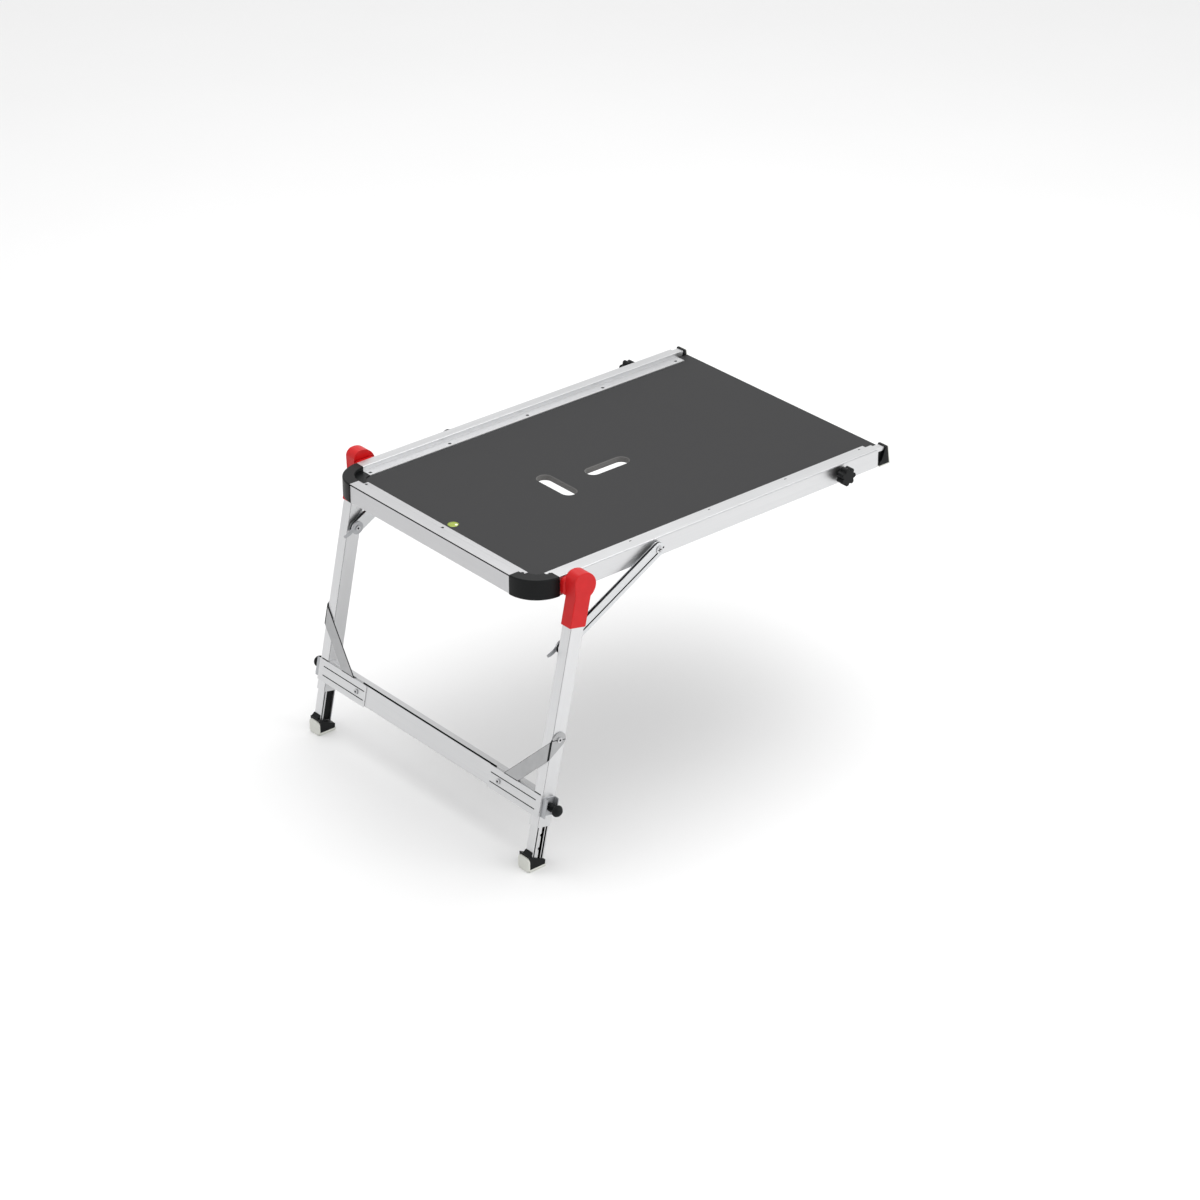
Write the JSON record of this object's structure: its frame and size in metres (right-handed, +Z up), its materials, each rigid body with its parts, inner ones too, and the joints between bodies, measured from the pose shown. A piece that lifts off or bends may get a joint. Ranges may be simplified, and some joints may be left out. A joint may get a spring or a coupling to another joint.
{
  "type": "folding work platform",
  "caption": "Folding work platform: dark deck board in an aluminium frame with hinged telescopic front legs, locking struts and sliding rear feet.",
  "frame": {"origin": "floor level under the front feet, at the middle of the bounding box in X and Y", "axes": "+X rearwards along the deck, +Y to the left, +Z up, deck level"},
  "size_m": [0.958, 0.76, 0.593],
  "materials": {
    "deck_film": "dark film-faced plywood, fine texture",
    "level_fluid": "clear moulded vial, yellow-green fluid",
    "black_screw": "black passivated",
    "rail_aluminium": "extruded, satin",
    "leg_aluminium": "extruded, satin",
    "bracket_aluminium": "mill finish flat bar",
    "strut_aluminium": "extruded, satin",
    "black_plastic": "moulded, fine texture",
    "nylon_black": "moulded, smooth",
    "red_plastic": "moulded, half gloss",
    "zinc_steel": "zinc plated",
    "yoke_steel": "zinc plated sheet",
    "pale_rubber": "moulded, matt"
  },
  "bodies": {
    "deck_frame": {"deck_board": "deck_film", "bubble_level": "level_fluid", "ledge_screws": "black_screw", "front_rail": "rail_aluminium", "hinge_pins": "zinc_steel", "strut_spacers": "nylon_black", "strut_bolts": "zinc_steel", "side_rail_right": "rail_aluminium", "side_rail_left": "rail_aluminium", "corner_cap_right": "black_plastic", "corner_cap_left": "black_plastic", "hinge_base_right": "red_plastic", "hinge_base_left": "red_plastic"},
    "leg_frame": {"crossbar": "leg_aluminium", "plate_bolts": "zinc_steel", "gusset_bolts": "zinc_steel", "hinge_socket_right": "red_plastic", "hinge_socket_left": "red_plastic", "outer_leg_right": "leg_aluminium", "outer_leg_left": "leg_aluminium", "end_plate_right": "leg_aluminium", "end_plate_left": "leg_aluminium", "gusset_right": "bracket_aluminium", "gusset_left": "bracket_aluminium", "lock_yoke_right": "yoke_steel", "lock_yoke_left": "yoke_steel"},
    "telescope_right": {"inner_leg_right": "leg_aluminium", "glide_strips_right": "nylon_black", "front_foot_right": "black_plastic", "foot_sole_right": "pale_rubber"},
    "plunger_right": {"pull_knob_right": "black_plastic", "index_pin_right": "zinc_steel"},
    "strut_arm_right": {"strut_right": "strut_aluminium", "lock_bolt_right": "zinc_steel"},
    "latch_right": {"finger_latch_right": "yoke_steel"},
    "rear_slide_right": {"rear_extension_right": "rail_aluminium", "rear_foot_right": "black_plastic", "rear_sole_right": "pale_rubber"},
    "clamp_right": {"star_knob_right": "black_plastic", "clamp_stud_right": "zinc_steel"},
    "telescope_left": {"inner_leg_left": "leg_aluminium", "glide_strips_left": "nylon_black", "front_foot_left": "black_plastic", "foot_sole_left": "pale_rubber"},
    "plunger_left": {"pull_knob_left": "black_plastic", "index_pin_left": "zinc_steel"},
    "strut_arm_left": {"strut_left": "strut_aluminium", "lock_bolt_left": "zinc_steel"},
    "latch_left": {"finger_latch_left": "yoke_steel"},
    "rear_slide_left": {"rear_extension_left": "rail_aluminium", "rear_foot_left": "black_plastic", "rear_sole_left": "pale_rubber"},
    "clamp_left": {"star_knob_left": "black_plastic", "clamp_stud_left": "zinc_steel"}
  },
  "joints": [
    {"name": "leg_fold", "type": "hinge", "parent": "deck_frame", "child": "leg_frame", "pos_m": [-0.341, 0, 0.5578], "axis": [0, -1, 0], "range_deg": [0, 98]},
    {"name": "leg_slide_right", "type": "slide", "parent": "leg_frame", "child": "telescope_right", "axis": [-0.2079, 0, -0.9781], "range_m": [-0.042, 0.084]},
    {"name": "plunger_pull_right", "type": "slide", "parent": "leg_frame", "child": "plunger_right", "axis": [0, -1, 0], "range_m": [0, 0.006], "stiffness_N_per_m": 1200, "springref_m": -0.004},
    {"name": "strut_fold_right", "type": "hinge", "parent": "deck_frame", "child": "strut_arm_right", "pos_m": [-0.135, -0.316, 0.5598], "axis": [0, -1, 0], "range_deg": [0, 150]},
    {"name": "latch_lift_right", "type": "hinge", "parent": "strut_arm_right", "child": "latch_right", "pos_m": [-0.3672, -0.3115, 0.43455], "axis": [0, 1, 0], "range_deg": [0, 25], "stiffness_Nm_per_rad": 0.3, "springref_deg": -20.05},
    {"name": "rear_slide_out_right", "type": "slide", "parent": "deck_frame", "child": "rear_slide_right", "axis": [1, 0, 0], "range_m": [0, 0.18]},
    {"name": "clamp_turn_right", "type": "hinge", "parent": "deck_frame", "child": "clamp_right", "pos_m": [0.344, -0.32, 0.5583], "axis": [0, -1, 0], "range_deg": [0, 360]},
    {"name": "leg_slide_left", "type": "slide", "parent": "leg_frame", "child": "telescope_left", "axis": [-0.2079, 0, -0.9781], "range_m": [-0.042, 0.084]},
    {"name": "plunger_pull_left", "type": "slide", "parent": "leg_frame", "child": "plunger_left", "axis": [0, 1, 0], "range_m": [0, 0.006], "stiffness_N_per_m": 1200, "springref_m": -0.004},
    {"name": "strut_fold_left", "type": "hinge", "parent": "deck_frame", "child": "strut_arm_left", "pos_m": [-0.135, 0.316, 0.5598], "axis": [0, -1, 0], "range_deg": [0, 150]},
    {"name": "latch_lift_left", "type": "hinge", "parent": "strut_arm_left", "child": "latch_left", "pos_m": [-0.3672, 0.3115, 0.43455], "axis": [0, 1, 0], "range_deg": [0, 25], "stiffness_Nm_per_rad": 0.3, "springref_deg": -20.05},
    {"name": "rear_slide_out_left", "type": "slide", "parent": "deck_frame", "child": "rear_slide_left", "axis": [1, 0, 0], "range_m": [0, 0.18]},
    {"name": "clamp_turn_left", "type": "hinge", "parent": "deck_frame", "child": "clamp_left", "pos_m": [0.344, 0.32, 0.5583], "axis": [0, 1, 0], "range_deg": [0, 360]}
  ],
  "couplings": [
    {"joint": "strut_fold_right", "follows": "leg_fold", "ratio": 1.53},
    {"joint": "strut_fold_left", "follows": "leg_fold", "ratio": 1.53}
  ]
}
